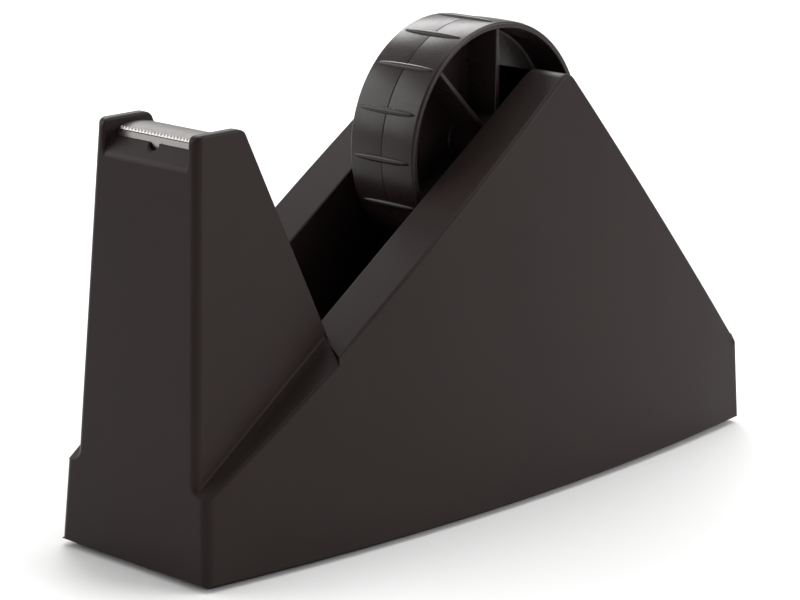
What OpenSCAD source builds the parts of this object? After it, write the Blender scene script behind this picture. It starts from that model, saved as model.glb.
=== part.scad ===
// Heavy desk tape dispenser for rolls on a 76 mm core.
// Frame: the blade end faces -Y, the width lies along X, +Z is up.
// The origin is the centre of the footprint, on the surface that the dispenser rests on.

/* [Body] */
// Length of the body, front foot to back wall
body_l = 237; // [220:1:250]
// Width of the body at its two ends, at table height
body_end_w = 63; // [58:0.5:68]
// Width of the body half way along, at table height
body_mid_w = 81; // [74:0.5:86]
// Draft of the curved side walls, in degrees
side_draft = 3.9; // [2:0.1:4.5]
// Backward lean of the front wall, in degrees
front_lean = 3.9; // [2:0.1:5]
// Wall thickness of the moulding
wall = 3; // [2.4:0.1:3.4]

/* [Wedge profile] */
// Height of the rail line above the front foot
rail_start_h = 23.8; // [20:0.1:26]
// Slope of the rails, in degrees
rail_slope = 35; // [32:0.5:37]
// Distance of the peak behind the front foot
peak_run = 150; // [144:1:154]
// Height of the upright back wall
back_h = 27.3; // [22:0.1:30]
// Radius of the peak
peak_r = 5; // [3:0.5:8]
// Radius of the edge between the back slope and the back wall
back_r = 3.5; // [3:0.5:9]

/* [Tower] */
// Height of the cheeks at the top of the tower
tower_h = 126.3; // [120:0.1:130]
// Width of the tower, extended down to table height
tower_foot_w = 53.6; // [50:0.1:56]
// Draft of the tower sides, in degrees
tower_draft = 2.6; // [2:0.1:3]
// Depth of the tower top, front to back
tower_top_l = 17.5; // [16:0.5:20]
// Backward slope of the tower's rear face from upright, in degrees
tower_rear_lean = 24.4; // [22:0.2:27]
// Height of the ledge above the rail line, where it meets the tower at the front
ledge_rise = 2; // [0.5:0.1:2.5]
// Slope of the ledge along the body, in degrees
ledge_slope = 33.9; // [33:0.1:35]
// Outward slope of the ledge, in degrees
ledge_tilt = 15; // [10:1:24]
// Height of the front panel below the blade
panel_h = 121.5; // [118:0.5:123]
// Depth of the blade seat behind the front wall
seat_depth = 4; // [3:0.25:5]
// Width between the cheeks
cheek_gap = 35; // [33:0.5:37]
// Radius of the half-round catch window in the panel edge
window_r = 2; // [1.6:0.1:2.6]

/* [Roll well] */
// Width between the rails
well_w = 34; // [32:0.5:36]
// Radius kept free for the roll
roll_clear_r = 64; // [56:1:66]
// Height of the flat floor in front of the roll
well_floor_h = 43.3; // [40:0.1:46]

/* [Hub] */
// Distance of the axle behind the front foot
axle_run = 138.4; // [134:0.1:142]
// Height of the axle
axle_h = 104.7; // [102:0.1:106]
// Outside diameter of the rim
rim_d = 75; // [73:0.25:75]
// Width of the rim
rim_w = 26.4; // [24:0.2:28]
// Thickness of the rim
rim_t = 2.2; // [1.8:0.1:3]
// Height of a grip rib
rib_h = 0.7; // [0.5:0.05:1]
// Width of a grip rib
rib_w = 2.6; // [2:0.1:3.4]
// Number of grip ribs
rib_count = 16; // [12:1:20]
// Thickness of the web and its fins
web_t = 1.8; // [1.4:0.1:2.4]
// Diameter of the axle
axle_d = 8; // [6:0.5:9]
// Radial clearance round the axle
axle_play = 0.06; // [0.02:0.01:0.1]
// Outside diameter of the hub boss
boss_d = 18; // [16:0.5:20]
// Direction in which the axle slots open, degrees above level
slot_rise = 45; // [40:1:50]
// Depth of the axle slots in the well walls
slot_depth = 4.5; // [4:0.25:5]

/* [Blade] */
// Length of the blade
blade_l = 32; // [30:0.5:34]
// Height of the blade strip
blade_h = 8; // [7:0.5:9]
// Thickness of the blade
blade_t = 0.6; // [0.5:0.05:0.8]
// Pitch of the teeth
tooth_pitch = 1.35; // [1.1:0.05:1.6]
// Height of the teeth
tooth_h = 0.9; // [0.7:0.05:1.1]

/* [Base] */
// Thickness of the anti-slip mat
mat_t = 2; // [1:0.1:2.5]
// Inset of the mat from the body edge
mat_inset = 3.5; // [3:0.5:5]
// Thickness of the base cover
cover_t = 2.2; // [1.8:0.1:2.6]
// Height of the ballast blocks
ballast_h = 14; // [8:1:20]

/* [Hidden] */
fine = 720;
round_fn = 96;
front_y = -body_l / 2;
back_y = body_l / 2;
axle_y = front_y + axle_run;
peak_h = rail_start_h + peak_run * tan(rail_slope);
bulge = (body_mid_w - body_end_w) / 2;
side_r = (pow(body_l / 2, 2) + pow(bulge, 2)) / (2 * bulge);
mid_x = body_mid_w / 2;
base_z = mat_t;
cover_top = mat_t + cover_t;
lip = 1.5;
play = 0.3;
tower_top_y = front_y + (tower_h - base_z) * tan(front_lean);
tower_back_y = tower_top_y + tower_top_l;
ballast_z = cover_top + 1;
ledge_x = tower_half_w(rail_start_h);
ledge_end_in = front_y + 54;
ledge_end_out = front_y + 47;
boss_h = 14;
well_step = 0.6;
land_h = tower_h - 3.4;
root_h = tower_h - 3;
tooth_count = floor(blade_l / tooth_pitch);
seat_drop = 8;
pocket_l = 3.2;
groove_w = 1.3;
groove_h = 1.6;
screw_x = 21;
screw_run = 14;
pilot_d = 2.6;
pilot_l = 12;
shank_hole_d = 3.4;
screw_head_d = 6;
head_h = 1.3;
ballast_head_d = 7;
ballast_head_h = 0.8;
corner_boss_d = 8;
boss_rib_t = 2;
boss_rib_l = 20;
hanger_d = 9;
mat_hole_d = 8;
window_drop = 0.3;
lead_h = 5;
ballast_end = 22;
front_ballast_l = 76;
rear_ballast_l = 108;
over = 1;
slot_reach = 60;
pad_skin = 2.3;
rib_phase = 1.5;
fin_phase = 90;
fin_inset = 0.6;
rib_root = 0.6;
hub_r = rim_d / 2;

function rail_z(y) = rail_start_h + (y - front_y) * tan(rail_slope);
function front_plane_y(z) = front_y + (z - base_z) * tan(front_lean);
function tower_rear_y(z) = tower_back_y + (tower_h - z) * tan(tower_rear_lean);
function tower_half_w(z) = tower_foot_w / 2 - z * tan(tower_draft);

// Convex outlines run counter-clockwise in (y, z)
function unit(v) = v / norm(v);
function cross2(a, b) = a[0] * b[1] - a[1] * b[0];
function meet(p, d, q, f) = p + d * (cross2(q - p, f) / cross2(d, f));
function inward(d) = [-d[1], d[0]];
function wrap(pts, i) = pts[(i + len(pts)) % len(pts)];
function shrink(pts, d) = [for (i = [0 : len(pts) - 1])
    let (a = wrap(pts, i - 1), b = pts[i], c = wrap(pts, i + 1), u = unit(b - a), v = unit(c - b))
    meet(a + inward(u) * d, u, b + inward(v) * d, v)];
function arc_corner(a, b, c, r, n = 8) =
    let (u = unit(a - b), v = unit(c - b), half = acos(u * v) / 2, mid = unit(u + v),
         centre = b + mid * r / sin(half), start = atan2((b + u * r / tan(half) - centre)[1],
         (b + u * r / tan(half) - centre)[0]), sweep = 180 - 2 * half)
    [for (i = [0 : n]) centre + r * [cos(start + sweep * i / n), sin(start + sweep * i / n)]];

under_z = base_z - 2 * wall;
ahead_y = front_y - 10;
peak = [front_y + peak_run, peak_h];
back_top = [back_y, back_h];
nose = [ahead_y, rail_z(ahead_y)];

// Side outlines run past the front wall, which one cut then shapes
function wedge(bottom) = [[ahead_y, bottom], [back_y, bottom], back_top, peak, nose];
function tower(bottom) =
    [[ahead_y, bottom], [tower_rear_y(bottom), bottom], [tower_back_y, tower_h], [ahead_y, tower_h]];
round_wedge = concat([[ahead_y, base_z], [back_y, base_z]], arc_corner([back_y, base_z], back_top, peak, back_r),
    arc_corner(back_top, peak, nose, peak_r), [nose]);

// Outline under the ledges, which stand a little above the rail line
raised_wedge = [[ahead_y, base_z + over], [ledge_end_in, base_z + over],
    [ledge_end_in, rail_z(ledge_end_in) + 2 * ledge_rise], [ahead_y, rail_z(ahead_y) + 2 * ledge_rise]];

// Extrudes a (y, z) outline across the width
module across(w) rotate([90, 0, 90]) linear_extrude(height = w, center = true) children();
// All that lies in front of the front wall, or of its inner face
module ahead(inset) {
    shift = inset / cos(front_lean);
    top = tower_h + 10;
    low = under_z - 10;
    across(body_mid_w + 20) polygon([[ahead_y - 20, low], [front_plane_y(low) + shift, low],
        [front_plane_y(top) + shift, top], [ahead_y - 20, top]]);
}

// Turns a Z cylinder to lie along X, centred on the axle
module at_axle() translate([0, axle_y, axle_h]) rotate([0, 90, 0]) children();

// Space between the two curved, drafted side walls
module between_sides(inset, z0, z1) {
    r = side_r - inset;
    t = tan(side_draft);
    intersection_for (s = [-1, 1])
        translate([s * (mid_x - side_r), 0, z0])
            cylinder(h = z1 - z0, r1 = r - z0 * t, r2 = r - z1 * t, $fn = fine);
}

// Space between the two flat, drafted tower sides
module tower_width(inset) {
    bottom = tower_half_w(under_z) - inset;
    top = tower_half_w(tower_h + 5) - inset;
    rotate([90, 0, 0]) linear_extrude(height = body_l + 10, center = true)
        polygon([[-bottom, under_z], [bottom, under_z], [top, tower_h + 5], [-top, tower_h + 5]]);
}

// Plan outline of the body at table height, moved in by a distance
module plan(inset, z0, z1) intersection() {
    between_sides(inset, z0, z1);
    translate([-mid_x, front_y + inset, z0]) cube([2 * mid_x, body_l - 2 * inset, z1 - z0]);
}

// The roll well, grown outward by a distance for its walls
module well(grow) {
    low = well_floor_h - grow;
    top = tower_h + 3;
    shift = well_step - grow / cos(tower_rear_lean);
    across(well_w + 2 * grow) {
        translate([axle_y, axle_h]) circle(r = roll_clear_r + grow, $fn = fine / 2);
        polygon([[tower_rear_y(low) + shift, low], [axle_y, low], [axle_y, top], [tower_rear_y(top) + shift, top]]);
    }
}

// Block along the slot direction, from a distance behind the axle to the reach ahead of it
module slot_block(half, back, length, reach) at_axle()
    rotate([0, 0, slot_rise]) translate([-half, -back, -length / 2]) cube([2 * half, reach + back, length]);

// Space for the two axle ends: a round seat, and a slightly wider way in along slot_rise
module axle_slots() {
    length = well_w + 2 * slot_depth;
    at_axle() cylinder(h = length, r = axle_d / 2 + axle_play, center = true, $fn = round_fn);
    slot_block(axle_d / 2 + play, 0, length, slot_reach);
}

// Plan area of the two ledges and the tower foot between them, moved in from the ends of the ledges
module ledge_area(inset) translate([0, 0, base_z]) linear_extrude(height = peak_h)
    polygon([[-mid_x, front_y - over], [mid_x, front_y - over], [mid_x, ledge_end_out - inset],
        [ledge_x - 2 * over, ledge_end_in - inset], [2 * over - ledge_x, ledge_end_in - inset],
        [-mid_x, ledge_end_out - inset]]);

// What is cut away above the two ledges, which slope outward beside the tower
module ledge_cut() {
    cut_l = body_l / 2;
    intersection() {
        for (s = [0, 1]) mirror([s, 0, 0])
            translate([ledge_x, front_y, rail_z(front_y) + ledge_rise])
                rotate([ledge_slope, 0, 0]) rotate([0, ledge_tilt, 0])
                    translate([-ledge_x, -cut_l, 0]) cube([2 * mid_x, 2 * cut_l, cut_l]);
        ledge_area(0);
    }
}

screw_spots = [for (x = [-screw_x, screw_x]) for (y = [front_y + screw_run, back_y - screw_run]) [x, y]];
ballast_spots = [[0, front_y + 75], [0, front_y + 150]];

// Screw bosses: a rib ties each corner boss to the side wall, and the ballast bosses hang from the well floor
module bosses() {
    intersection() {
        for (p = screw_spots) translate([p[0], p[1], cover_top]) {
            cylinder(h = boss_h, d = corner_boss_d, $fn = round_fn);
            translate([(sign(p[0]) - 1) * boss_rib_l / 2, -boss_rib_t / 2, 0]) cube([boss_rib_l, boss_rib_t, boss_h]);
        }
        between_sides(wall / 2, cover_top, cover_top + boss_h);
    }
    for (p = ballast_spots) translate([p[0], p[1], ballast_z + ballast_h + play])
        cylinder(h = well_floor_h - wall - ballast_z - ballast_h, d = hanger_d, $fn = round_fn);
}

module housing() color([0.09, 0.08, 0.08]) difference() {
    union() {
        difference() {
            union() {
                difference() {
                    intersection() {
                        between_sides(0, base_z, peak_h + 5);
                        union() {
                            across(body_mid_w + 10) polygon(round_wedge);
                            intersection() {
                                across(body_mid_w + 10) polygon(raised_wedge);
                                ledge_area(0.5);
                            }
                        }
                    }
                    ledge_cut();
                }
                intersection() {
                    tower_width(0);
                    across(body_mid_w + 10) polygon(tower(base_z));
                }
            }
            ahead(0);
            // Hollow inside of the wedge and of the tower, apart from the walls of the well
            difference() {
                union() {
                    intersection() {
                        between_sides(wall, under_z, peak_h + 5);
                        across(body_mid_w) polygon(shrink(wedge(under_z), wall));
                    }
                    intersection() {
                        tower_width(wall);
                        across(body_mid_w) polygon(shrink(tower(under_z), wall));
                        translate([-mid_x, front_y, under_z]) cube([2 * mid_x, body_l, panel_h - 12 - under_z]);
                    }
                }
                well(wall);
                ahead(wall);
            }
            well(0);
        }
        // Pads behind the well walls, which the axle slots are cut into
        intersection() {
            slot_block(axle_d / 2 + wall, axle_d / 2 + wall, well_w + 2 * (slot_depth + pad_skin), slot_reach);
            between_sides(wall / 2, base_z, peak_h + 5);
            across(body_mid_w) polygon(shrink(wedge(under_z), wall / 2));
            difference() {
                cube([body_mid_w, body_l, 400], center = true);
                cube([well_w, body_l + 1, 401], center = true);
            }
        }
        bosses();
    }
    axle_slots();
    // Rebate for the base cover
    plan(lip, 0, cover_top);
    // Blade seat between the cheeks, with the sloping lead-in above the panel
    blade_seat();
    for (p = screw_spots) translate([p[0], p[1], 0]) cylinder(h = cover_top + pilot_l, d = pilot_d, $fn = round_fn);
    for (p = ballast_spots) translate([p[0], p[1], 0])
        cylinder(h = ballast_z + ballast_h + pilot_l - 2, d = pilot_d, $fn = round_fn);
}

seat_y = front_plane_y(panel_h) + seat_depth;
module blade_seat() {
    translate([-cheek_gap / 2, seat_y, panel_h - seat_drop]) cube([cheek_gap, pocket_l, 20]);
    translate([-cheek_gap / 2, seat_y, panel_h]) cube([cheek_gap, 30, 20]);
    lead_z = panel_h - lead_h;
    above = tower_h + 10;
    across(cheek_gap) polygon([[front_plane_y(lead_z), lead_z], [seat_y, panel_h], [seat_y + over, panel_h],
        [seat_y + over, above], [ahead_y, above], [ahead_y, lead_z]]);
    translate([0, front_y, panel_h - window_drop]) rotate([-90, 0, 0])
        cylinder(h = seat_y - front_y + over, r = window_r, $fn = round_fn);
}

module base_cover() color([0.12, 0.12, 0.12]) difference() {
    plan(lip + play, mat_t, cover_top);
    for (p = screw_spots) translate([p[0], p[1], 0]) {
        cylinder(h = cover_top + over, d = shank_hole_d, $fn = round_fn);
        translate([0, 0, mat_t])
            cylinder(h = head_h, d1 = screw_head_d + play, d2 = shank_hole_d + play, $fn = round_fn);
    }
}

module anti_slip_mat() color([0.06, 0.06, 0.06]) difference() {
    plan(mat_inset, 0, mat_t);
    for (p = screw_spots) translate([p[0], p[1], -1]) cylinder(h = mat_t + 2, d = mat_hole_d, $fn = round_fn);
}

module base_screws() color([0.6, 0.6, 0.62]) for (p = screw_spots) translate([p[0], p[1], mat_t]) {
    cylinder(h = head_h, d1 = screw_head_d, d2 = pilot_d, $fn = round_fn);
    cylinder(h = pilot_l, d = pilot_d, $fn = round_fn);
}

// Ballast block between the side walls, from y0 over a length, with a hole for its screw
module ballast(y0, length, spot) difference() {
    intersection() {
        between_sides(wall + 2, ballast_z, ballast_z + ballast_h);
        translate([-mid_x, y0, ballast_z]) cube([2 * mid_x, length, ballast_h]);
    }
    translate([spot[0], spot[1], 0]) cylinder(h = ballast_z + ballast_h + over, d = shank_hole_d, $fn = round_fn);
}

module front_ballast() color([0.3, 0.3, 0.32]) ballast(front_y + ballast_end, front_ballast_l, ballast_spots[0]);

module rear_ballast() color([0.3, 0.3, 0.32])
    ballast(back_y - ballast_end - rear_ballast_l, rear_ballast_l, ballast_spots[1]);

module ballast_screws() color([0.6, 0.6, 0.62])
    for (p = ballast_spots) translate([p[0], p[1], ballast_z - ballast_head_h]) {
        cylinder(h = ballast_head_h, d = ballast_head_d, $fn = round_fn);
        cylinder(h = ballast_h + pilot_l - 3, d = pilot_d, $fn = round_fn);
    }

module blade_holder() color([0.45, 0.44, 0.43]) across(cheek_gap - 0.2) polygon(holder_outline());

// Landing bar: a convex top that falls to the rear, and a groove behind the teeth
function holder_outline() =
    let (y0 = seat_y + blade_t + 0.1, low = panel_h - seat_drop + 0.1, rear = tower_rear_y(land_h) - 0.2,
         y1 = y0 + groove_w)
    concat([[y0, low], [seat_y + pocket_l - 0.1, low], [seat_y + pocket_l - 0.1, panel_h + 0.1],
        [tower_rear_y(panel_h + 0.1) - 0.2, panel_h + 0.1], [rear, land_h]],
        [for (i = [1 : 11]) let (t = i / 12) [rear + (y1 - rear) * t, land_h + 0.6 * t + 4.4 * t * (1 - t)]],
        [[y1, land_h + 0.6], [y1, root_h - groove_h], [y0, root_h - groove_h]]);

module cutting_blade() color([0.75, 0.75, 0.76]) translate([-blade_l / 2, seat_y + 0.05, 0]) rotate([90, 0, 0])
    mirror([0, 0, 1]) linear_extrude(height = blade_t) polygon(concat(
        [[0, root_h - blade_h + 0.9], [blade_l, root_h - blade_h + 0.9], [blade_l, root_h]],
        [for (i = [tooth_count : -1 : 1]) for (k = [0, 1])
            [(blade_l - tooth_count * tooth_pitch) / 2 + (i - 0.5 * k) * tooth_pitch, root_h + tooth_h * k]],
        [[0, root_h]]));

module axle() color([0.55, 0.55, 0.57]) at_axle()
    cylinder(h = well_w + 2 * (slot_depth - play), d = axle_d, center = true, $fn = round_fn);

module hub_wheel() color([0.1, 0.1, 0.1]) at_axle() {
    difference() {
        union() {
            difference() {
                cylinder(h = rim_w, r = hub_r, center = true, $fn = fine / 2);
                cylinder(h = rim_w + 1, r = hub_r - rim_t, center = true, $fn = fine / 2);
            }
            cylinder(h = web_t, r = hub_r - rim_t / 2, center = true, $fn = fine / 2);
            cylinder(h = well_w - 2 * play, d = boss_d, center = true, $fn = round_fn);
            for (a = [0 : 120 : 240]) for (b = [0, 45]) rotate([0, 0, fin_phase + a + b])
                translate([-web_t / 2, boss_d / 2 - over, fin_inset - rim_w / 2])
                    cube([web_t, hub_r - rim_t / 2 - boss_d / 2 + over, rim_w - 2 * fin_inset]);
        }
        cylinder(h = well_w + 1, r = axle_d / 2 + axle_play, center = true, $fn = round_fn);
    }
    for (i = [0 : rib_count - 1]) rotate([0, 0, rib_phase + i * 360 / rib_count + 90])
        translate([hub_r - rib_root, 0, 0]) rotate([0, 90, 0]) linear_extrude(height = rib_h + rib_root)
            polygon(rib_outline());
}
// Half width of a lens-shaped rib at a share of its length
function rib_half(t) = rib_w / 2 * sqrt(max(0.02, 1 - pow(abs(1 - 2 * t), 2.2)));
function rib_outline() = let (h = rim_w / 2 - fin_inset, n = 6)
    concat([for (i = [0 : n]) [h - 2 * h * i / n, rib_half(i / n)]],
           [for (i = [0 : n]) [2 * h * i / n - h, -rib_half(i / n)]]);

housing();
base_cover();
base_screws();
anti_slip_mat();
front_ballast();
rear_ballast();
ballast_screws();
blade_holder();
cutting_blade();
axle();
hub_wheel();
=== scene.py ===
"""Looks of the desk tape dispenser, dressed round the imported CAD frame.

Everything is in metres. The blade end faces -Y, the width lies along X and +Z is up.
"""

import logging
import math
from dataclasses import dataclass, field
from enum import Enum
from typing import Callable, Sequence

import bmesh
import bpy
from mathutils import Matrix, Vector
from mathutils.bvhtree import BVHTree


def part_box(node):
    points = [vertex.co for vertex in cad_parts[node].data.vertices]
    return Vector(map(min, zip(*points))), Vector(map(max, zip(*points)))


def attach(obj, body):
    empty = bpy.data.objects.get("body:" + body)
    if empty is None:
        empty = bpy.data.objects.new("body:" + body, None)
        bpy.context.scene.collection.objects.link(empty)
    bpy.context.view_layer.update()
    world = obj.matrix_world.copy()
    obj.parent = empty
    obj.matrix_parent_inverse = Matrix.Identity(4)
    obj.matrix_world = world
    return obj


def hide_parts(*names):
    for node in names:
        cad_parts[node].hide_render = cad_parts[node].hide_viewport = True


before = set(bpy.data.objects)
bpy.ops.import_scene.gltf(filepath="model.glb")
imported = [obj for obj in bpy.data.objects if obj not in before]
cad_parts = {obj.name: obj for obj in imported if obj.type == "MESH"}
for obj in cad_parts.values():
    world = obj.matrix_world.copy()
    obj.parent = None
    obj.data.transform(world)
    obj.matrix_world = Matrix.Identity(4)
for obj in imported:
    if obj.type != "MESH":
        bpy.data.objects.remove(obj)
LOG = logging.getLogger("tape_dispenser")
MM = 0.001
Colour = tuple[float, float, float]
Outline = list[tuple[float, float]]


# ---------------------------------------------------------------- node trees


class Tree:
    """Adds and links the nodes of one shader or geometry tree."""

    def __init__(self, tree: bpy.types.NodeTree) -> None:
        """Keeps the tree to build in.

        Args:
            tree: The shader or geometry node tree.
        """
        self.tree = tree

    def add(self, kind: str, inputs: dict | None = None, **settings: object) -> bpy.types.Node:
        """Adds one node.

        Args:
            kind: The node's type name.
            inputs: Socket name or index to a plain value or to the output socket that feeds it.
            settings: Attributes of the node itself.

        Returns:
            The new node.
        """
        node = self.tree.nodes.new(kind)
        for key, value in settings.items():
            setattr(node, key, value)
        for key, value in (inputs or {}).items():
            if isinstance(value, bpy.types.NodeSocket):
                self.tree.links.new(value, node.inputs[key])
            else:
                node.inputs[key].default_value = value
        return node

    def math(self, operation: str, a: object, b: object = 0.0) -> bpy.types.NodeSocket:
        """Adds a Math node.

        Args:
            operation: The Math node's operation.
            a: First value or socket.
            b: Second value or socket.

        Returns:
            The node's output socket.
        """
        return self.add("ShaderNodeMath", {0: a, 1: b}, operation=operation).outputs[0]

    def span(self, value: object, low: float, high: float, out_low: float,
             out_high: float) -> bpy.types.NodeSocket:
        """Maps a value from one range to another, clamped.

        Args:
            value: The value or socket to map.
            low: Start of the range read.
            high: End of the range read.
            out_low: Result at the start.
            out_high: Result at the end.

        Returns:
            The mapped socket.
        """
        ends = {0: value, 1: low, 2: high, 3: out_low, 4: out_high}
        return self.add("ShaderNodeMapRange", ends).outputs[0]

    def blend(self, amount: object, first: object, second: object) -> bpy.types.NodeSocket:
        """Mixes two colours.

        Args:
            amount: Share of the second colour.
            first: First colour or socket.
            second: Second colour or socket.

        Returns:
            The mixed colour's socket.
        """
        node = self.add("ShaderNodeMix", {0: amount}, data_type="RGBA")
        for index, value in ((6, first), (7, second)):
            if isinstance(value, bpy.types.NodeSocket):
                self.tree.links.new(value, node.inputs[index])
            else:
                node.inputs[index].default_value = (*value, 1.0)
        return node.outputs[2]


def shader_group(name: str, inputs: Sequence[tuple[str, str, float]], outputs: Sequence[str],
                 build: Callable[[Tree, dict], dict]) -> bpy.types.NodeTree:
    """Makes a shader node group once, and returns the same one afterwards.

    Args:
        name: The group's name.
        inputs: Name, socket type and default of each input.
        outputs: Names of the value outputs.
        build: Fills the tree from its inputs and returns the socket of each output.

    Returns:
        The node group.
    """
    found = bpy.data.node_groups.get(name)
    if found:
        return found
    group = bpy.data.node_groups.new(name, "ShaderNodeTree")
    for label, kind, default in inputs:
        socket = group.interface.new_socket(label, in_out="INPUT", socket_type=kind)
        if kind == "NodeSocketFloat":
            socket.default_value = default
    for label in outputs:
        group.interface.new_socket(label, in_out="OUTPUT", socket_type="NodeSocketFloat")
    tree = Tree(group)
    entry = tree.add("NodeGroupInput")
    results = build(tree, {label: entry.outputs[label] for label, _, _ in inputs})
    tree.add("NodeGroupOutput", results)
    return group


def grain_group() -> bpy.types.NodeTree:
    """Fine spark-eroded grain of a moulded face: its height, and broad patches of mould flow."""

    def build(tree: Tree, given: dict) -> dict:
        """Fills the grain group."""
        place = given["Place"]
        fine = tree.add("ShaderNodeTexNoise", {"Vector": place, "Scale": given["Scale"], "Detail": 3.0,
                                               "Roughness": 0.65})
        coarse = tree.math("MULTIPLY", given["Scale"], 0.6)
        pits = tree.add("ShaderNodeTexVoronoi", {"Vector": place, "Scale": coarse}, feature="SMOOTH_F1")
        flow = tree.add("ShaderNodeTexNoise", {"Vector": place, "Scale": 22.0, "Detail": 4.0,
                                               "Roughness": 0.55, "Distortion": 0.8})
        height = tree.math("ADD", fine.outputs[0], tree.math("MULTIPLY", pits.outputs["Distance"], 0.5))
        return {"Height": height, "Flow": tree.span(flow.outputs[0], 0.32, 0.68, 0.0, 1.0)}

    inputs = [("Place", "NodeSocketVector", 0.0), ("Scale", "NodeSocketFloat", 2200.0)]
    return shader_group("moulded_grain", inputs, ["Height", "Flow"], build)


def handling_group() -> bpy.types.NodeTree:
    """Marks of use: hairline scratches and smudges."""

    def build(tree: Tree, given: dict) -> dict:
        """Fills the handling group."""
        place = given["Place"]
        marks = []
        for turn, stretch in ((0.5, 900.0), (-0.35, 1300.0)):
            turned = tree.add("ShaderNodeMapping", {"Vector": place, "Rotation": (0.25, 0.3, turn),
                                                    "Scale": (18.0, stretch, 26.0)})
            lines = tree.add("ShaderNodeTexNoise", {"Vector": turned.outputs[0], "Scale": 1.0, "Detail": 1.0})
            marks.append(tree.span(lines.outputs[0], 0.69, 0.74, 0.0, 1.0))
        patch = tree.add("ShaderNodeTexNoise", {"Vector": place, "Scale": 35.0, "Detail": 2.0})
        lines = tree.math("MULTIPLY", tree.math("MAXIMUM", marks[0], marks[1]),
                          tree.span(patch.outputs[0], 0.5, 0.7, 0.0, 1.0))
        smear = tree.add("ShaderNodeTexNoise", {"Vector": place, "Scale": 60.0, "Detail": 5.0,
                                                "Roughness": 0.7, "Distortion": 1.5})
        smudges = tree.span(smear.outputs[0], 0.48, 0.72, 0.0, 1.0)
        return {"Scratches": tree.math("MULTIPLY", lines, given["Amount"]),
                "Smudges": tree.math("MULTIPLY", smudges, given["Amount"])}

    inputs = [("Place", "NodeSocketVector", 0.0), ("Amount", "NodeSocketFloat", 0.5)]
    return shader_group("handling_marks", inputs, ["Scratches", "Smudges"], build)


def grinding_group() -> bpy.types.NodeTree:
    """Fine lines left by grinding or drawing along one direction."""

    def build(tree: Tree, given: dict) -> dict:
        """Fills the grinding group."""
        turned = tree.add("ShaderNodeVectorMath", {0: given["Place"], 1: given["Stretch"]},
                          operation="MULTIPLY")
        fine = tree.add("ShaderNodeTexNoise", {"Vector": turned.outputs[0], "Scale": 1.0, "Detail": 6.0,
                                               "Roughness": 0.75})
        broad = tree.add("ShaderNodeTexNoise", {"Vector": given["Place"], "Scale": 90.0, "Detail": 3.0})
        return {"Lines": fine.outputs[0], "Stain": tree.span(broad.outputs[0], 0.45, 0.75, 0.0, 1.0)}

    inputs = [("Place", "NodeSocketVector", 0.0), ("Stretch", "NodeSocketVector", 0.0)]
    return shader_group("grinding_lines", inputs, ["Lines", "Stain"], build)


# ---------------------------------------------------------------- finishes


@dataclass(frozen=True)
class Plastic:
    """A moulded plastic or rubber finish."""

    name: str
    colour: Colour
    pale: Colour
    roughness: float
    spread: float
    grain: float
    relief: float
    use: float
    gloss: float = 0.5

    def build(self) -> bpy.types.Material:
        """Builds the material.

        Returns:
            The finished material.
        """
        material, tree, place, shader = start_material(self.name)
        grain = tree.add("ShaderNodeGroup", node_tree=grain_group())
        tree.tree.links.new(place, grain.inputs["Place"])
        grain.inputs["Scale"].default_value = self.grain
        marks = tree.add("ShaderNodeGroup", node_tree=handling_group())
        tree.tree.links.new(place, marks.inputs["Place"])
        marks.inputs["Amount"].default_value = self.use
        height, flow = grain.outputs["Height"], grain.outputs["Flow"]
        scratches, smudges = marks.outputs["Scratches"], marks.outputs["Smudges"]
        mottled = tree.blend(tree.math("MULTIPLY", flow, 0.35), self.colour, self.pale)
        marked = tree.blend(tree.math("MULTIPLY", scratches, 0.5), mottled, self.pale)
        tree.tree.links.new(marked, shader.inputs["Base Color"])
        rough = tree.span(flow, 0.0, 1.0, self.roughness - self.spread, self.roughness + self.spread)
        rough = tree.math("ADD", rough, tree.math("MULTIPLY", smudges, 0.07))
        rough = tree.math("ADD", rough, tree.math("MULTIPLY", scratches, 0.12))
        tree.tree.links.new(rough, shader.inputs["Roughness"])
        shader.inputs["Specular IOR Level"].default_value = self.gloss
        depth = tree.math("SUBTRACT", height, tree.math("MULTIPLY", scratches, 0.8))
        bump = tree.add("ShaderNodeBump", {"Height": depth, "Distance": self.relief, "Strength": 0.6})
        tree.tree.links.new(bump.outputs[0], shader.inputs["Normal"])
        return material


@dataclass(frozen=True)
class Metal:
    """A ground, drawn, plated or cast metal finish."""

    name: str
    colour: Colour
    stain: Colour
    roughness: float
    spread: float
    stretch: Colour
    relief: float

    def build(self) -> bpy.types.Material:
        """Builds the material.

        Returns:
            The finished material.
        """
        material, tree, place, shader = start_material(self.name)
        ground = tree.add("ShaderNodeGroup", node_tree=grinding_group())
        tree.tree.links.new(place, ground.inputs["Place"])
        ground.inputs["Stretch"].default_value = self.stretch
        lines, stain = ground.outputs["Lines"], ground.outputs["Stain"]
        colour = tree.blend(tree.math("MULTIPLY", stain, 0.5), self.colour, self.stain)
        tree.tree.links.new(colour, shader.inputs["Base Color"])
        rough = tree.span(lines, 0.25, 0.75, self.roughness - self.spread, self.roughness + self.spread)
        tree.tree.links.new(rough, shader.inputs["Roughness"])
        shader.inputs["Metallic"].default_value = 1.0
        bump = tree.add("ShaderNodeBump", {"Height": lines, "Distance": self.relief, "Strength": 0.5})
        tree.tree.links.new(bump.outputs[0], shader.inputs["Normal"])
        return material


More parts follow.
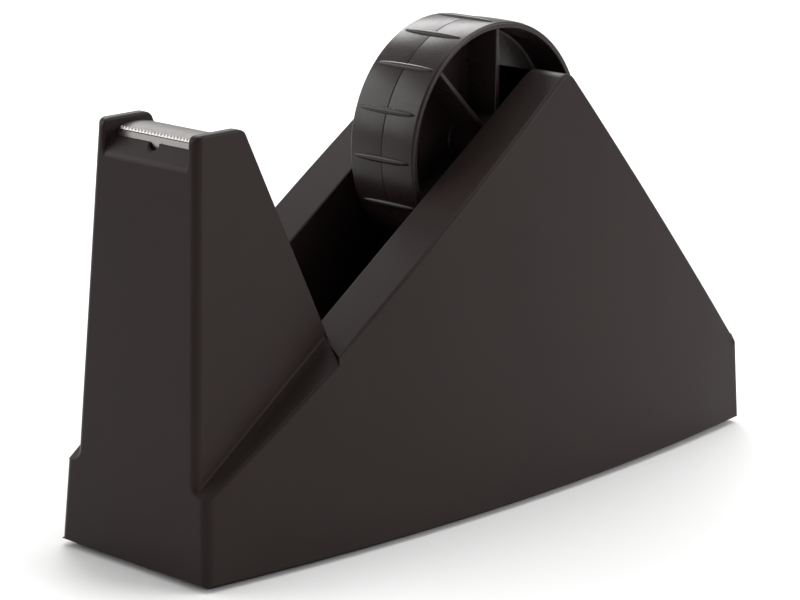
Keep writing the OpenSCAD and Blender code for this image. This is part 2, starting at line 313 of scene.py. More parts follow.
def start_material(name: str) -> tuple[bpy.types.Material, Tree, bpy.types.NodeSocket, bpy.types.Node]:
    """Makes an empty material with a Principled shader and object coordinates.

    Args:
        name: The material's name.

    Returns:
        The material, its tree helper, the coordinate socket and the Principled node.
    """
    material = bpy.data.materials.new(name)
    material.use_nodes = True
    material.node_tree.nodes.clear()
    tree = Tree(material.node_tree)
    place = tree.add("ShaderNodeTexCoord").outputs["Object"]
    shader = tree.add("ShaderNodeBsdfPrincipled")
    tree.add("ShaderNodeOutputMaterial", {"Surface": shader.outputs[0]})
    return material, tree, place, shader


class Finish(Enum):
    """The finishes of this dispenser, by the record's material slot."""

    BODY = ("black_moulding", Plastic("black_satin_moulding", (0.0160, 0.0098, 0.0094),
                                      (0.0245, 0.0160, 0.0154), 0.42, 0.05, 2300.0, 0.000022, 0.1, 0.12))
    COVER = ("black_cover", Plastic("black_cover_moulding", (0.030, 0.030, 0.030), (0.060, 0.060, 0.060),
                                    0.55, 0.05, 1500.0, 0.00004, 0.5))
    RUBBER = ("mat_rubber", Plastic("foam_rubber", (0.018, 0.018, 0.018), (0.045, 0.043, 0.042),
                                    0.86, 0.06, 900.0, 0.00018, 0.2, 0.25))
    HUB = ("hub_plastic", Plastic("glossy_black_moulding", (0.0175, 0.0112, 0.0108), (0.027, 0.0182, 0.0176),
                                  0.27, 0.05, 700.0, 0.000014, 0.7, 0.24))
    LANDING = ("pale_landing", Plastic("grey_landing_moulding", (0.060, 0.054, 0.051), (0.085, 0.077, 0.073),
                                       0.42, 0.05, 1200.0, 0.00001, 0.6, 0.3))
    BLADE = ("blade_steel", Metal("ground_blade_steel", (0.30, 0.287, 0.278), (0.22, 0.207, 0.198),
                                  0.27, 0.09, (220.0, 220.0, 9000.0), 0.00001))
    AXLE = ("axle_steel", Metal("drawn_axle_steel", (0.58, 0.57, 0.56), (0.42, 0.40, 0.38),
                                0.32, 0.08, (160.0, 5000.0, 5000.0), 0.00001))
    ZINC = ("zinc_steel", Metal("zinc_plated_steel", (0.62, 0.63, 0.60), (0.48, 0.46, 0.38),
                                0.36, 0.08, (1500.0, 1500.0, 1500.0), 0.00001))
    IRON = ("ballast_iron", Metal("cast_ballast_iron", (0.16, 0.155, 0.15), (0.20, 0.13, 0.09),
                                  0.68, 0.12, (420.0, 420.0, 420.0), 0.00025))

    def dress(self, piece: bpy.types.Object) -> None:
        """Gives a piece this finish.

        Args:
            piece: The object to dress.
        """
        slot, finish = self.value
        material = bpy.data.materials.get(finish.name) or finish.build()
        piece.data.materials.clear()
        piece.data.materials.append(material)


# ---------------------------------------------------------------- mesh making


def link(name: str, mesh: bpy.types.Mesh) -> bpy.types.Object:
    """Puts a mesh in the scene as an object at the origin.

    Args:
        name: Name of the piece.
        mesh: Its mesh.

    Returns:
        The object.
    """
    piece = bpy.data.objects.new(name, mesh)
    bpy.context.scene.collection.objects.link(piece)
    return piece


def bake(piece: bpy.types.Object) -> bpy.types.Object:
    """Replaces a piece's modifiers by their result.

    Args:
        piece: The object whose modifiers are made final.

    Returns:
        The same object, with a plain mesh.
    """
    bpy.context.view_layer.update()
    graph = bpy.context.evaluated_depsgraph_get()
    mesh = bpy.data.meshes.new_from_object(piece.evaluated_get(graph))
    mesh.name = piece.name
    piece.modifiers.clear()
    piece.data = mesh
    return piece


def shade(piece: bpy.types.Object, degrees: float = 32.0) -> None:
    """Shades a piece smooth, apart from edges sharper than an angle.

    Args:
        piece: The object to shade.
        degrees: Edges sharper than this stay sharp.
    """
    piece.data.polygons.foreach_set("use_smooth", [True] * len(piece.data.polygons))
    form = bmesh.new()
    form.from_mesh(piece.data)
    for edge in form.edges:
        edge.smooth = len(edge.link_faces) == 2 and edge.calc_face_angle(0.0) < math.radians(degrees)
    form.to_mesh(piece.data)
    form.free()


def fillet(points: Sequence[tuple[float, float, float]], steps: int = 4) -> Outline:
    """Rounds the corners of a closed outline.

    Args:
        points: Two coordinates and the corner's radius, for each corner.
        steps: Segments of each rounding.

    Returns:
        The rounded outline.
    """
    outline: Outline = []
    count = len(points)
    for index, (u, v, radius) in enumerate(points):
        here = Vector((u, v))
        before = Vector(points[index - 1][:2]) - here
        after = Vector(points[(index + 1) % count][:2]) - here
        half = before.angle(after) / 2
        if radius <= 0 or abs(half - math.pi / 2) < 1e-3:
            outline.append((u, v))
            continue
        run = min(radius / math.tan(half), before.length * 0.49, after.length * 0.49)
        start = here + before.normalized() * run
        end = here + after.normalized() * run
        for step in range(steps + 1):
            share = step / steps
            point = start * (1 - share) ** 2 + here * 2 * share * (1 - share) + end * share ** 2
            outline.append((point.x, point.y))
    return outline


def skin(name: str, rings: Sequence[Sequence[Vector]], capped: bool) -> bpy.types.Object:
    """Joins closed rings of points into a skin.

    Args:
        name: Name of the piece.
        rings: Rings of equal length, in order.
        capped: Whether the first and last rings are closed with faces; if not, the last joins the first.

    Returns:
        The new object.
    """
    form = bmesh.new()
    rows = [[form.verts.new(point) for point in ring] for ring in rings]
    pairs = list(zip(rows, rows[1:]))
    if capped:
        form.faces.new(rows[0])
        form.faces.new(rows[-1])
    else:
        pairs.append((rows[-1], rows[0]))
    for low, high in pairs:
        for index in range(len(low)):
            after = (index + 1) % len(low)
            form.faces.new((low[index], low[after], high[after], high[index]))
    bmesh.ops.recalc_face_normals(form, faces=form.faces)
    mesh = bpy.data.meshes.new(name)
    form.to_mesh(mesh)
    form.free()
    return link(name, mesh)


def lathe(name: str, outline: Outline, centre: Vector, segments: int) -> bpy.types.Object:
    """Turns a closed (x, radius) outline about an axis along X.

    Args:
        name: Name of the piece.
        outline: The section.
        centre: A point on the axis.
        segments: Steps round the axis.

    Returns:
        The turned object.
    """
    rings = []
    for step in range(segments):
        angle = math.tau * step / segments
        aim = Vector((0.0, math.cos(angle), math.sin(angle)))
        rings.append([centre + Vector((x, 0.0, 0.0)) + aim * radius for x, radius in outline])
    return skin(name, rings, False)


def inset(outline: Outline, distance: float) -> Outline:
    """Moves a convex counter-clockwise outline inward.

    Args:
        outline: The outline.
        distance: How far its sides move.

    Returns:
        The smaller outline.
    """
    moved: Outline = []
    count = len(outline)
    for index, (u, v) in enumerate(outline):
        before = Vector((u, v)) - Vector(outline[index - 1])
        after = Vector(outline[(index + 1) % count]) - Vector((u, v))
        first = Vector((-before.y, before.x)).normalized()
        second = Vector((-after.y, after.x)).normalized()
        mid = first + second
        shift = mid * (distance / max(1e-9, 0.5 * mid.length_squared))
        moved.append((u + shift.x, v + shift.y))
    return moved


def cross_bar(name: str, outline: Outline, half: float, edge: float) -> bpy.types.Object:
    """Makes a bar along X from a (y, z) outline, with rounded ends.

    Args:
        name: Name of the piece.
        outline: Counter-clockwise section.
        half: Half of the bar's length.
        edge: Radius of the rounding at both ends.

    Returns:
        The bar.
    """
    rings = []
    steps = 4
    for side in (-1, 1):
        turns = range(steps + 1) if side < 0 else range(steps, -1, -1)
        for step in turns:
            angle = math.pi / 2 * step / steps
            ring = inset(outline, edge * (1 - math.sin(angle)))
            x = side * (half - edge * (1 - math.cos(angle)))
            rings.append([Vector((x, y, z)) for y, z in ring])
    return skin(name, rings, True)


class Layout(Enum):
    """How a repeated piece is laid out."""

    RING = "ring"
    ROW = "row"
    COLUMN = "column"


def repeater_tree(layout: Layout) -> bpy.types.NodeTree:
    """Builds the Geometry Nodes tree that repeats the object's own mesh.

    A ring turns the copies about the X axis. A row steps them along X and a column along Y.
    The result is then moved to its place.

    Args:
        layout: Ring, row or column.

    Returns:
        The geometry node tree.
    """
    group = bpy.data.node_groups.new(f"repeat_in_{layout.value}", "GeometryNodeTree")
    face = group.interface
    face.new_socket("Piece", in_out="INPUT", socket_type="NodeSocketGeometry")
    face.new_socket("Count", in_out="INPUT", socket_type="NodeSocketInt")
    face.new_socket("First", in_out="INPUT", socket_type="NodeSocketFloat")
    face.new_socket("Step", in_out="INPUT", socket_type="NodeSocketFloat")
    face.new_socket("Place", in_out="INPUT", socket_type="NodeSocketVector")
    face.new_socket("Finish", in_out="INPUT", socket_type="NodeSocketMaterial")
    face.new_socket("Result", in_out="OUTPUT", socket_type="NodeSocketGeometry")
    tree = Tree(group)
    given = tree.add("NodeGroupInput").outputs
    points = tree.add("GeometryNodeMeshLine", {"Count": given["Count"], "Offset": (0.0, 0.0, 0.0)})
    order = tree.add("GeometryNodeInputIndex").outputs[0]
    value = tree.math("ADD", given["First"], tree.math("MULTIPLY", order, given["Step"]))
    axis = 1 if layout is Layout.COLUMN else 0
    along = tree.add("ShaderNodeCombineXYZ", {axis: value}).outputs[0]
    if layout is Layout.RING:
        laid = {"Points": points.outputs[0], "Instance": given["Piece"], "Rotation": along}
    else:
        moved = tree.add("GeometryNodeSetPosition", {"Geometry": points.outputs[0], "Offset": along})
        laid = {"Points": moved.outputs[0], "Instance": given["Piece"]}
    copies = tree.add("GeometryNodeInstanceOnPoints", laid).outputs[0]
    solid = tree.add("GeometryNodeRealizeInstances", {"Geometry": copies}).outputs[0]
    placed = tree.add("GeometryNodeTransform", {"Geometry": solid, "Translation": given["Place"]}).outputs[0]
    dressed = tree.add("GeometryNodeSetMaterial", {"Geometry": placed, "Material": given["Finish"]})
    tree.add("NodeGroupOutput", {"Result": dressed.outputs[0]})
    return group


def repeat(piece: bpy.types.Object, layout: Layout, count: int, first: float, step: float,
           place: Vector) -> None:
    """Repeats a piece's mesh and makes the result its plain mesh.

    Args:
        piece: The object that holds one copy, at the origin.
        layout: Ring, row or column.
        count: Number of copies.
        first: First angle in radians, or first distance.
        step: Angle or distance from one copy to the next.
        place: Where the whole set goes.
    """
    tree = bpy.data.node_groups.get(f"repeat_in_{layout.value}") or repeater_tree(layout)
    modifier = piece.modifiers.new("repeat", "NODES")
    modifier.node_group = tree
    values = {"Count": count, "First": first, "Step": step, "Place": tuple(place)}
    if piece.data.materials:
        values["Finish"] = piece.data.materials[0]
    for item in tree.interface.items_tree:
        if item.in_out == "INPUT" and item.name in values:
            modifier[item.identifier] = values[item.name]
    bake(piece)


def joined(name: str, parts: Sequence[bpy.types.Object]) -> bpy.types.Object:
    """Joins several pieces into one plain mesh.

    Args:
        name: Name of the joined piece.
        parts: The pieces, which are removed.

    Returns:
        The joined object.
    """
    form = bmesh.new()
    for part in parts:
        form.from_mesh(part.data)
        bpy.data.objects.remove(part)
    mesh = bpy.data.meshes.new(name)
    form.to_mesh(mesh)
    form.free()
    return link(name, mesh)


def settle(piece: bpy.types.Object, node: str, stray: float = 0.25 * MM) -> None:
    """Brings back the points that a rounding has thrown outside a CAD node.

    Args:
        piece: The rounded piece.
        node: The CAD node it was copied from.
        stray: How far outside the node's surface a point may lie.
    """
    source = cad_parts[node].data
    surface = BVHTree.FromPolygons([vertex.co for vertex in source.vertices],
                                   [face.vertices for face in source.polygons])
    low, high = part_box(node)
    for vertex in piece.data.vertices:
        spot, normal, _, distance = surface.find_nearest(vertex.co)
        if distance > stray and (vertex.co - spot).dot(normal) > 0:
            vertex.co = spot
        vertex.co = [min(max(value, least), most) for value, least, most in zip(vertex.co, low, high)]


def softened(node: str, name: str, rule: Callable[[bmesh.types.BMEdge], float], steps: int = 4,
             sharp: float = 18.0, crease: float = 40.0) -> bpy.types.Object:
    """Copies a CAD node, merges its triangles and rounds its sharp edges.

    Args:
        node: The CAD node to copy.
        name: Name of the new piece.
        rule: Gives the rounding of an edge in metres, 0 for none.
        steps: Segments of each rounding.
        sharp: Edges sharper than this many degrees are rounded.
        crease: Edges still sharper than this afterwards are shaded sharp.

    Returns:
        The new piece.
    """
    piece = link(name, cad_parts[node].data.copy())
    form = bmesh.new()
    form.from_mesh(piece.data)
    bmesh.ops.remove_doubles(form, verts=form.verts, dist=0.002 * MM)
    bmesh.ops.dissolve_limit(form, angle_limit=math.radians(0.4), verts=form.verts, edges=form.edges)
    layer = form.edges.layers.float.new("bevel_weight_edge")
    widest = 0.0
    chosen = []
    for edge in form.edges:
        if len(edge.link_faces) == 2 and edge.calc_face_angle(0.0) > math.radians(sharp):
            chosen.append((edge, rule(edge)))
            widest = max(widest, chosen[-1][1])
    for edge, radius in chosen:
        edge[layer] = radius / widest if widest else 0.0
    form.to_mesh(piece.data)
    form.free()
    bevel = piece.modifiers.new("rounding", "BEVEL")
    bevel.limit_method = "WEIGHT"
    bevel.width = widest
    bevel.segments = steps
    bevel.harden_normals = False
    bevel.use_clamp_overlap = False
    bevel.miter_outer = "MITER_ARC"
    bake(piece)
    settle(piece, node)
    shade(piece, crease)
    even = piece.modifiers.new("even_faces", "WEIGHTED_NORMAL")
    even.mode = "FACE_AREA"
    even.weight = 90
    even.keep_sharp = True
    bake(piece)
    piece.data.materials.clear()
    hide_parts(node)
    return piece


# ---------------------------------------------------------------- sub-assemblies


@dataclass
class Body:
    """The moulded wedge and tower, with the roll well."""

    corner: float = 2.6 * MM
    scoop: float = 1.2 * MM
    rail: float = 1.2 * MM
    cheek: float = 0.9 * MM
    edge: float = 0.45 * MM
    foot: float = 0.3 * MM
    ledge_end: float = 0.12 * MM
    cheek_z: float = 118 * MM
    lean: float = math.radians(3.9)
    bulge: float = 9 * MM
    side_reach: float = 0.7 * MM
    front_reach: float = 0.4 * MM
    straight: float = 0.95
    panel_drop: float = 12 * MM
    panel_half: float = 18 * MM
    cheek_half: float = 17 * MM
    tower_run: float = 40 * MM
    short: float = 12 * MM
    long: float = 8 * MM
    cheek_inner: float = 16 * MM
    ledge_run: tuple[float, float] = (42 * MM, 58 * MM)
    ledge_half: float = 22 * MM
    ledge_z: tuple[float, float] = (48 * MM, 70 * MM)
    box: tuple[Vector, Vector] = field(default_factory=lambda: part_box("housing"))

    def rounding(self, edge: bmesh.types.BMEdge) -> float:
        """Gives the rounding of one sharp edge of the body.

        Args:
            edge: The edge.

        Returns:
            The radius in metres.
        """
        low, high = self.box
        first, last = (vertex.co for vertex in edge.verts)
        middle = (first + last) / 2
        along = (last - first).normalized()
        upright = abs(along.z) > self.straight
        front_y = low.y + (middle.z - low.z) * math.tan(self.lean)
        at_front = abs(middle.y - front_y) < self.front_reach
        across = abs(along.x) > self.straight
        out = abs(middle.x)
        run = middle.y - low.y
        by_ledge_end = (self.ledge_run[0] < run < self.ledge_run[1] and out > self.ledge_half
                        and self.ledge_z[0] < middle.z < self.ledge_z[1])
        if by_ledge_end and edge.calc_length() < self.short:
            return self.ledge_end
        if across and middle.z > high.z - self.panel_drop and out < self.panel_half and at_front:
            return self.scoop
        on_tower = middle.y < low.y + self.tower_run
        if across and middle.z > self.cheek_z and out > self.cheek_half and on_tower:
            return self.corner
        if upright and at_front and out > self.panel_half and edge.calc_length() > self.long:
            return self.corner
        if abs(along.x) < 0.3 and self.at_side(middle, high) and middle.z > low.z + 4 * MM:
            return self.rail
        if middle.z > self.cheek_z and out > self.cheek_inner:
            return self.cheek
        if middle.z < low.z + 5 * MM:
            return self.foot
        return self.edge

    def at_side(self, point: Vector, high: Vector) -> bool:
        """Tells whether a point lies on one of the two curved side walls.

        Args:
            point: The point.
            high: Highest corner of the housing.

        Returns:
            True on a side wall.
        """
        half = high.y
        radius = (half * half + self.bulge * self.bulge) / (2 * self.bulge)
        level = high.x - radius + math.sqrt(radius * radius - point.y * point.y)
        edge = level - point.z * math.tan(self.lean)
        return abs(abs(point.x) - edge) < self.side_reach

    def build(self) -> list[bpy.types.Object]:
        """Builds the body.

        Known fault: stray faces close the back of the roll well, where the CAD housing is open.

        Returns:
            The finished piece.
        """
        piece = softened("housing", "body_moulding", self.rounding)
        Finish.BODY.dress(piece)
        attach(piece, "base")
        return [piece]


@dataclass
class Base:
    """Everything under and inside the body: cover, mat, ballast and their screws."""

    edge: float = 0.4 * MM
    cross: float = 1.7 * MM

    def cover(self) -> bpy.types.Object:
        """Builds the base cover."""
        piece = softened("base_cover", "bottom_cover", lambda edge: self.edge)
        Finish.COVER.dress(piece)
        return piece

    def mat(self) -> bpy.types.Object:
        """Builds the anti-slip mat."""
        piece = softened("anti_slip_mat", "foam_mat", lambda edge: 0.3 * MM)
        Finish.RUBBER.dress(piece)
        return piece

    def ballast(self, node: str, name: str) -> bpy.types.Object:
        """Builds one cast ballast block.

        Args:
            node: The CAD node it stands for.
            name: Name of the piece.

        Returns:
            The block, with rounded casting edges.
        """
        piece = softened(node, name, lambda edge: 1.2 * MM)
        Finish.IRON.dress(piece)
        return piece

    def screw(self, head: float, shank: float, length: float) -> bpy.types.Object:
        """Turns one screw, head down, with a cross recess and a threaded shank.

        Args:
            head: Radius of the head.
            shank: Radius of the shank.
            length: Whole length.

        Returns:
            The screw, standing up the Z axis from the origin.
        """
        rounds = 48
        core = shank - 0.18 * MM
        pitch = 0.9 * MM
        outline = [(0.7 * MM, 0.0, True), (0.65 * MM, 0.55, True), (0.0, 1.0, True),
                   (0.0, head - 0.25 * MM, False), (0.08 * MM, head - 0.08 * MM, False),
                   (0.3 * MM, head, False), (0.5 * MM, head, False), (1.3 * MM, shank, False),
                   (1.5 * MM, core, False)]
        height = 1.9 * MM
        while height + pitch < length - 1.2 * MM:
            outline.append((height, core, False))
            outline.append((height + 0.35 * pitch, shank, False))
            outline.append((height + 0.5 * pitch, shank, False))
            height += pitch
        outline += [(height, core, False), (length, 0.02 * MM, False)]
        rings = []
        for up, radius, recess in outline:
            ring = []
            for step in range(rounds):
                angle = math.tau * step / rounds
                wide = max(abs(math.cos(angle)), abs(math.sin(angle)))
                thin = max(1e-6, min(abs(math.cos(angle)), abs(math.sin(angle))))
                reach = min(self.cross / wide, 0.4 * MM / thin) * radius + 0.01 * MM if recess else radius
                ring.append(Vector((reach * math.cos(angle), reach * math.sin(angle), up)))
            rings.append(ring)
        return skin("screw", rings, True)

    def screws(self, node: str, name: str, head: float, shank: float) -> bpy.types.Object:
        """Builds a set of like screws, one at each spot of the CAD node.

        Args:
            node: The CAD node that holds the set.
            name: Name of the piece.
            head: Radius of the head.
            shank: Radius of the shank.

        Returns:
            The set of screws.
        """
        low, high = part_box(node)
        piece = self.screw(head, shank, high.z - low.z)
        spots = self.spots(node)
        xs = sorted({round(x, 5) for x, _ in spots})
        ys = sorted({round(y, 5) for _, y in spots})
        gap_x = xs[-1] - xs[0]
        gap_y = ys[-1] - ys[0]
        if len(xs) > 1:
            repeat(piece, Layout.ROW, len(xs), 0.0, gap_x, Vector((0.0, 0.0, 0.0)))
        repeat(piece, Layout.COLUMN, len(ys), 0.0, gap_y, Vector((xs[0], ys[0], low.z)))
        piece.name = name
        shade(piece)
        Finish.ZINC.dress(piece)
        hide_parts(node)
        return piece

    def spots(self, node: str) -> list[tuple[float, float]]:
        """Finds the axis of each screw of a CAD node.

        Args:
            node: The CAD node.

        Returns:
            The (x, y) of each axis.
        """
        spots: list[list[Vector]] = []
        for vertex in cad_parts[node].data.vertices:
            flat = Vector((vertex.co.x, vertex.co.y))
            near = [group for group in spots if (group[0] - flat).length < 9 * MM]
            if near:
                near[0].append(flat)
            else:
                spots.append([flat])
        places = []
        for group in spots:
            xs = [point.x for point in group]
            ys = [point.y for point in group]
            places.append(((min(xs) + max(xs)) / 2, (min(ys) + max(ys)) / 2))
        return sorted(places)

    def build(self) -> list[bpy.types.Object]:
        """Builds the pieces of the base.

        Returns:
            The finished pieces.
        """
        pieces = [self.cover(), self.mat(), self.ballast("front_ballast", "front_block"),
                  self.ballast("rear_ballast", "rear_block"),
                  self.screws("base_screws", "cover_screws", 3.1 * MM, 1.3 * MM),
                  self.screws("ballast_screws", "block_screws", 3.4 * MM, 1.3 * MM)]
        for piece in pieces:
            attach(piece, "base")
        return pieces


@dataclass
class Cutter:
    """The blade and the landing bar that holds it."""

    pitch: float = 1.35 * MM
    tooth: float = 0.9 * MM

    def landing(self) -> bpy.types.Object:
        """Builds the landing bar from the CAD piece, softened apart from the groove behind the teeth."""
        groove_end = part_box("blade_holder")[0].y + 1.5 * MM

        def rule(edge: bmesh.types.BMEdge) -> float:
            """Rounds an edge, only a little at the groove."""
            middle = (edge.verts[0].co.y + edge.verts[1].co.y) / 2
            return 0.06 * MM if middle < groove_end else 0.35 * MM

        piece = softened("blade_holder", "landing_bar", rule, 3, 12.0)
        Finish.LANDING.dress(piece)
        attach(piece, "base")
        return piece

    def blade(self) -> bpy.types.Object:
        """Builds the blade: a strip with a ground bevel, and its row of teeth."""
        low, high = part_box("cutting_blade")
        root = high.z - self.tooth
        half = (high.x - low.x) / 2
        mid = (low.x + high.x) / 2
        section = fillet([(low.y, low.z, 0.08 * MM), (high.y, low.z, 0.08 * MM), (high.y, root, 0),
                          (low.y, root, 0)], 2)
        strip = cross_bar("strip", section, half, 0.1 * MM)
        for vertex in strip.data.vertices:
            vertex.co.x += mid
        width = self.pitch * 0.5
        depth = high.y - low.y
        tooth = bpy.data.meshes.new("tooth")
        form = bmesh.new()
        base = [form.verts.new(point) for point in ((-width, 0, -0.25 * MM), (width, 0, -0.25 * MM),
                                                    (width, depth, -0.25 * MM), (-width, depth, -0.25 * MM))]
        waist = [form.verts.new(point) for point in ((-width, 0, 0), (width, 0, 0), (width, depth, 0),
                                                     (-width, depth, 0))]
        tip = [form.verts.new(point) for point in ((-0.05 * MM, depth * 0.72, self.tooth),
                                                   (0.05 * MM, depth * 0.72, self.tooth),
                                                   (0.05 * MM, depth, self.tooth),
                                                   (-0.05 * MM, depth, self.tooth))]
        form.faces.new(base)
        form.faces.new(tip)
        for lower, upper in ((base, waist), (waist, tip)):
            for index in range(4):
                after = (index + 1) % 4
                form.faces.new((lower[index], lower[after], upper[after], upper[index]))
        bmesh.ops.recalc_face_normals(form, faces=form.faces)
        form.to_mesh(tooth)
        form.free()
        teeth = link("teeth", tooth)
        count = int((2 * half) / self.pitch)
        first = mid - self.pitch * (count - 1) / 2
        repeat(teeth, Layout.ROW, count, first, self.pitch, Vector((0.0, low.y, root)))
        piece = joined("serrated_blade", [strip, teeth])
        shade(piece, 20.0)
        Finish.BLADE.dress(piece)
        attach(piece, "base")
        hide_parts("cutting_blade")
        return piece

    def build(self) -> list[bpy.types.Object]:
        """Builds the cutter.

        Returns:
            The finished pieces.
        """
        return [self.landing(), self.blade()]


@dataclass
class Hub:
    """The core wheel: rim, web, boss, fins and grip ribs."""

    rim: float = 37.5 * MM
    rim_inner: float = 35.3 * MM
    half_rim: float = 13.2 * MM
    web: float = 0.9 * MM
    boss: float = 9.0 * MM
    bore: float = 4.06 * MM
    rib_count: int = 16
    rib_phase: float = 1.5
    rib_half_width: float = 1.15 * MM

    def wheel(self, centre: Vector, half: float) -> bpy.types.Object:
        """Turns the rim, web and boss as one closed form.

        Args:
            centre: Middle of the axle.
            half: Half of the boss length.

        Returns:
            The turned form.
        """
        seam = 0.22 * MM
        outline = fillet([
            (-half, self.bore, 0.3 * MM), (-half, self.boss, 0.7 * MM),
            (-self.web, self.boss + 0.2 * MM, 1.2 * MM),
            (-self.web, self.rim_inner, 1.2 * MM), (-self.half_rim, self.rim_inner + 0.2 * MM, 0.5 * MM),
            (-self.half_rim, self.rim - 0.1 * MM, 0.8 * MM), (-seam, self.rim - 0.04 * MM, 0.1 * MM),
            (0.0, self.rim - 0.3 * MM, 0), (seam, self.rim, 0.1 * MM),
            (self.half_rim, self.rim - 0.06 * MM, 0.8 * MM),
            (self.half_rim, self.rim_inner + 0.2 * MM, 0.5 * MM),
            (self.web, self.rim_inner, 1.2 * MM), (self.web, self.boss + 0.2 * MM, 1.2 * MM),
            (half, self.boss, 0.7 * MM), (half, self.bore, 0.3 * MM)], 4)
        return lathe("wheel", outline, centre, 180)

    def rib(self, reach: float) -> bpy.types.Object:
        """Makes one lens-shaped grip rib, standing on the rim above the axis.

        Args:
            reach: Distance of the rib's crest from the axle.

        Returns:
            The rib.
        """
        length = self.half_rim - 0.6 * MM
        rows = 16
        form = bmesh.new()
        rings = []
        for row in range(1, rows):
            share = -1 + 2 * row / rows
            width = self.rib_half_width * math.sqrt(1 - abs(share) ** 2.2)
            crest = self.rim + (reach - self.rim) * (1 - abs(share) ** 3.0)
            ring = []
            for step in range(9):
                turn = math.pi * step / 8
                up = self.rim - 0.7 * MM + (crest - self.rim + 0.7 * MM) * math.sin(turn) ** 0.6
                ring.append(form.verts.new((share * length, width * math.cos(turn), up)))
            rings.append(ring)
        ends = [form.verts.new((side * length, 0.0, self.rim - 0.7 * MM)) for side in (-1, 1)]
        for low, high in zip(rings, rings[1:]):
            for step in range(9):
                after = (step + 1) % 9
                form.faces.new((low[step], low[after], high[after], high[step]))
        for end, ring in zip(ends, (rings[0], rings[-1])):
            for step in range(9):
                form.faces.new((ring[step], ring[(step + 1) % 9], end))
        bmesh.ops.recalc_face_normals(form, faces=form.faces)
        mesh = bpy.data.meshes.new("rib")
        form.to_mesh(mesh)
        form.free()
        return link("rib", mesh)

    def fin(self) -> bpy.types.Object:
        """Makes one stiffening fin, standing on the boss above the axis, with a softened free edge."""
        low = self.boss - 0.6 * MM
        high = self.rim_inner + 0.6 * MM
        half = 0.9 * MM
        reach = self.half_rim - 0.6 * MM
        piece = cross_bar("fin", fillet([(-half, low, 0), (half, low, 0), (half * 0.8, high, 0),
                                         (-half * 0.8, high, 0)], 1), reach, 0.45 * MM)
        return piece

    def build(self) -> list[bpy.types.Object]:
        """Builds the hub.

        Returns:
            The finished piece.
        """
        low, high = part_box("hub_wheel")
        centre = (low + high) / 2
        wheel = self.wheel(centre, (high.x - low.x) / 2)
        ribs = self.rib((high.z - low.z) / 2 - 0.02 * MM)
        step = math.tau / self.rib_count
        repeat(ribs, Layout.RING, self.rib_count, math.radians(self.rib_phase), step, centre)
        fins = []
        for first in (0, 45):
            fin = self.fin()
            repeat(fin, Layout.RING, 3, math.radians(first), math.radians(120), centre)
            fins.append(fin)
        piece = joined("core_wheel", [wheel, ribs, *fins])
        shade(piece, 34.0)
        Finish.HUB.dress(piece)
        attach(piece, "wheel")
        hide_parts("hub_wheel")
        return [piece]


@dataclass
class Axle:
    """The loose axle that lifts out with the wheel."""

    chamfer: float = 0.7 * MM

    def build(self) -> list[bpy.types.Object]:
        """Builds the axle, with chamfered ends and a shallow groove near each.

        Returns:
            The finished piece.
        """
        low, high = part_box("axle")
        centre = (low + high) / 2
        half = (high.x - low.x) / 2
        radius = (high.z - low.z) / 2
        groove = 0.25 * MM
        outline = fillet([
            (-half, 0.05 * MM, 0), (-half, radius - self.chamfer, 0.1 * MM),
            (-half + self.chamfer, radius, 0.15 * MM),
            (-half + 2.2 * MM, radius, 0.05 * MM), (-half + 2.4 * MM, radius - groove, 0.05 * MM),
            (-half + 2.8 * MM, radius - groove, 0.05 * MM), (-half + 3.0 * MM, radius, 0.05 * MM),
            (half - 3.0 * MM, radius, 0.05 * MM), (half - 2.8 * MM, radius - groove, 0.05 * MM),
            (half - 2.4 * MM, radius - groove, 0.05 * MM), (half - 2.2 * MM, radius, 0.05 * MM),
            (half - self.chamfer, radius, 0.15 * MM), (half, radius - self.chamfer, 0.1 * MM),
            (half, 0.05 * MM, 0)], 2)
        piece = lathe("lift_out_axle", outline, centre, 64)
        shade(piece, 25.0)
        Finish.AXLE.dress(piece)
        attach(piece, "axle")
        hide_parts("axle")
        return [piece]


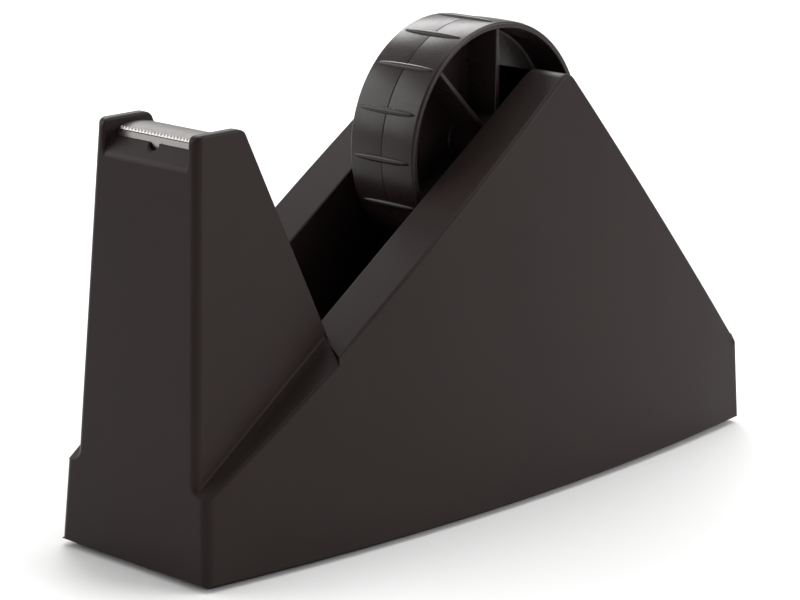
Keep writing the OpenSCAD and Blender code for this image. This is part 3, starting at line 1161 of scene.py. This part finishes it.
@dataclass
class Studio:
    """Pale floor, soft lights and the camera."""

    stand: Vector
    aim: Vector
    lens: float = 137.1
    floor_size: float = 9.0

    def floor(self) -> None:
        """Lays the pale floor, which turns up gently at its far edges."""
        form = bmesh.new()
        count = 24
        rows = []
        for i in range(count + 1):
            row = []
            for j in range(count + 1):
                x = (i / count - 0.5) * self.floor_size
                y = (j / count - 0.5) * self.floor_size
                out = max(0.0, math.hypot(x, y) - 3.2)
                row.append(form.verts.new((x, y, 0.25 * out * out)))
            rows.append(row)
        for i in range(count):
            for j in range(count):
                form.faces.new((rows[i][j], rows[i + 1][j], rows[i + 1][j + 1], rows[i][j + 1]))
        mesh = bpy.data.meshes.new("studio_floor")
        form.to_mesh(mesh)
        form.free()
        floor = link("studio_floor", mesh)
        shade(floor, 60.0)
        material, tree, place, shader = start_material("pale_floor")
        tone = tree.add("ShaderNodeTexNoise", {"Vector": place, "Scale": 3.0, "Detail": 2.0})
        share = tree.span(tone.outputs[0], 0.3, 0.7, 0.0, 1.0)
        colour = tree.blend(share, (0.86, 0.86, 0.86), (0.88, 0.88, 0.88))
        tree.tree.links.new(colour, shader.inputs["Base Color"])
        shader.inputs["Roughness"].default_value = 0.7
        shader.inputs["Specular IOR Level"].default_value = 0.2
        floor.data.materials.append(material)

    def light(self, name: str, place: Vector, size: tuple[float, float], power: float) -> None:
        """Hangs one soft rectangular light, facing the object.

        Args:
            name: The light's name.
            place: Where it hangs.
            size: Its width and height.
            power: Its power in watts.
        """
        data = bpy.data.lights.new(name, "AREA")
        data.shape = "RECTANGLE"
        data.size, data.size_y = size
        data.energy = power
        lamp = bpy.data.objects.new(name, data)
        lamp.location = place
        lamp.rotation_euler = (self.aim - place).to_track_quat("-Z", "Y").to_euler()
        bpy.context.scene.collection.objects.link(lamp)

    def camera(self) -> None:
        """Places the camera."""
        data = bpy.data.cameras.new("camera")
        data.lens = self.lens
        data.sensor_width = 36.0
        data.clip_start = 0.05
        camera = bpy.data.objects.new("camera", data)
        camera.location = self.stand
        camera.rotation_euler = (self.aim - self.stand).to_track_quat("-Z", "Y").to_euler()
        bpy.context.scene.collection.objects.link(camera)
        bpy.context.scene.camera = camera

    def build(self) -> None:
        """Sets the whole studio up."""
        world = bpy.data.worlds.new("studio")
        world.use_nodes = True
        tree = Tree(world.node_tree)
        backdrop = world.node_tree.nodes["Background"]
        backdrop.inputs[0].default_value = (1.0, 0.985, 0.975, 1.0)
        aim = tree.add("ShaderNodeTexCoord").outputs["Generated"]
        toward = tree.add("ShaderNodeVectorMath", {0: aim, 1: (0.66, -0.70, 0.28)}, operation="DOT_PRODUCT")
        tree.tree.links.new(tree.span(toward.outputs["Value"], 0.25, 0.92, 0.72, 0.11), backdrop.inputs[1])
        bpy.context.scene.world = world
        bpy.context.scene.view_settings.view_transform = "Standard"
        self.floor()
        self.light("back_left_softbox", Vector((-1.25, 0.85, 1.15)), (0.9, 0.7), 12.0)
        self.light("left_fill", Vector((-1.6, -1.1, 0.9)), (1.6, 1.2), 18.0)
        self.light("right_softbox", Vector((1.4, 1.0, 0.8)), (1.2, 1.0), 18.0)
        self.light("top_softbox", Vector((0.0, 0.5, 1.8)), (1.8, 1.4), 22.0)
        self.camera()


def main() -> None:
    """Builds the dispenser and its studio, and reports each piece."""
    logging.basicConfig(level=logging.INFO, format="%(message)s")
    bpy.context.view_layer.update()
    for assembly in (Body(), Base(), Cutter(), Hub(), Axle()):
        for piece in assembly.build():
            LOG.info("%s: %d faces", piece.name, len(piece.data.polygons))
    Studio(stand=Vector((0.6258, -0.6520, 0.28515)), aim=Vector((0.03189, -0.04224, 0.07052))).build()


if __name__ == "__main__":
    main()
